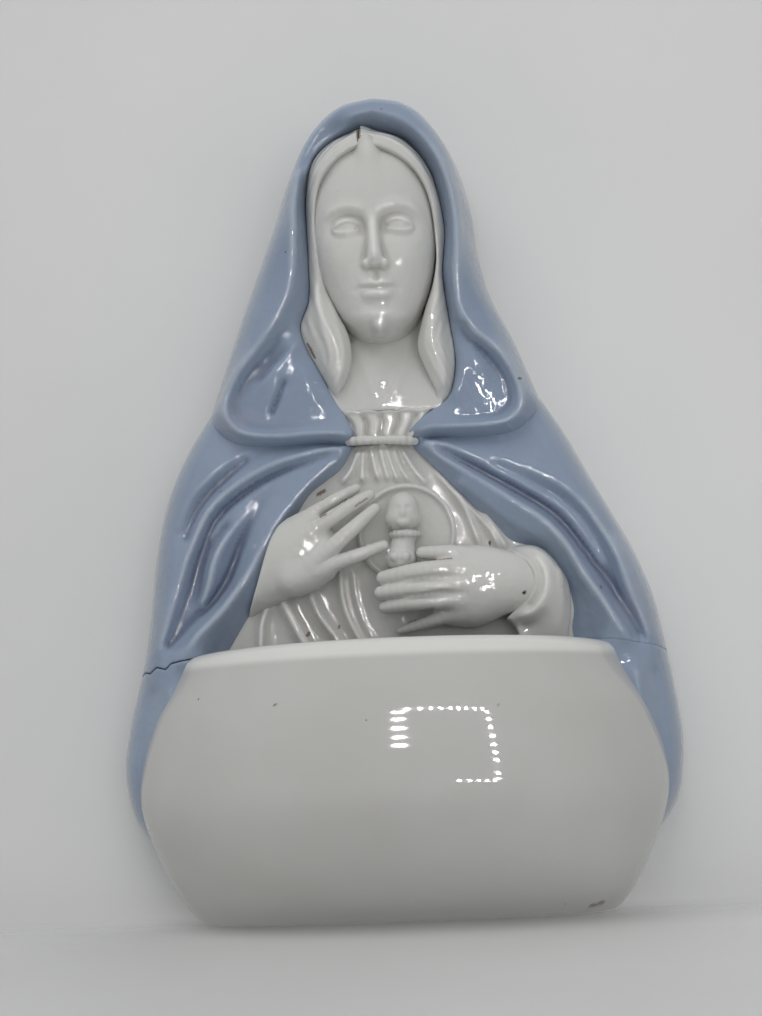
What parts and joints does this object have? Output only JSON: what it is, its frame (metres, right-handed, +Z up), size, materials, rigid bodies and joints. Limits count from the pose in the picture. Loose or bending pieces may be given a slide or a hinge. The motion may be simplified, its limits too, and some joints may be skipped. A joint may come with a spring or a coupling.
{
  "type": "madonna wall planter",
  "caption": "Flat-backed glazed ceramic relief of a veiled figure holding a small child over an open half-round bowl, made to hang on a wall or stand on its cut base",
  "frame": {"origin": "middle of the flat base, at the centre of the object's box in x and y", "axes": "+Z up the figure, +X to the viewer's right, the figure faces -Y and the flat back faces +Y"},
  "size_m": [0.1456, 0.061, 0.22],
  "materials": {
    "white_glaze": "glossy clear glaze over white slip-cast earthenware",
    "blue_glaze": "glossy dusty-blue colour under clear glaze, thin and paler on raised folds",
    "bare_clay": "wiped glaze on the back and foot"
  },
  "bodies": {
    "root": {"figure_back": "bare_clay", "bowl_back": "bare_clay", "bowl_front": "white_glaze", "bowl_floor": "bare_clay", "bowl_inner_wall": "white_glaze", "hem_right": "blue_glaze", "hem_left": "blue_glaze", "veil": "blue_glaze", "mantle_right": "blue_glaze", "mantle_left": "blue_glaze", "gown": "white_glaze", "collar": "white_glaze", "head": "white_glaze", "hair_right": "white_glaze", "hair_left": "white_glaze", "neck": "white_glaze", "halo": "white_glaze", "child": "white_glaze", "hand_right": "white_glaze", "hand_left": "white_glaze", "cuff_left": "white_glaze", "clasp": "white_glaze"}
  },
  "joints": []
}
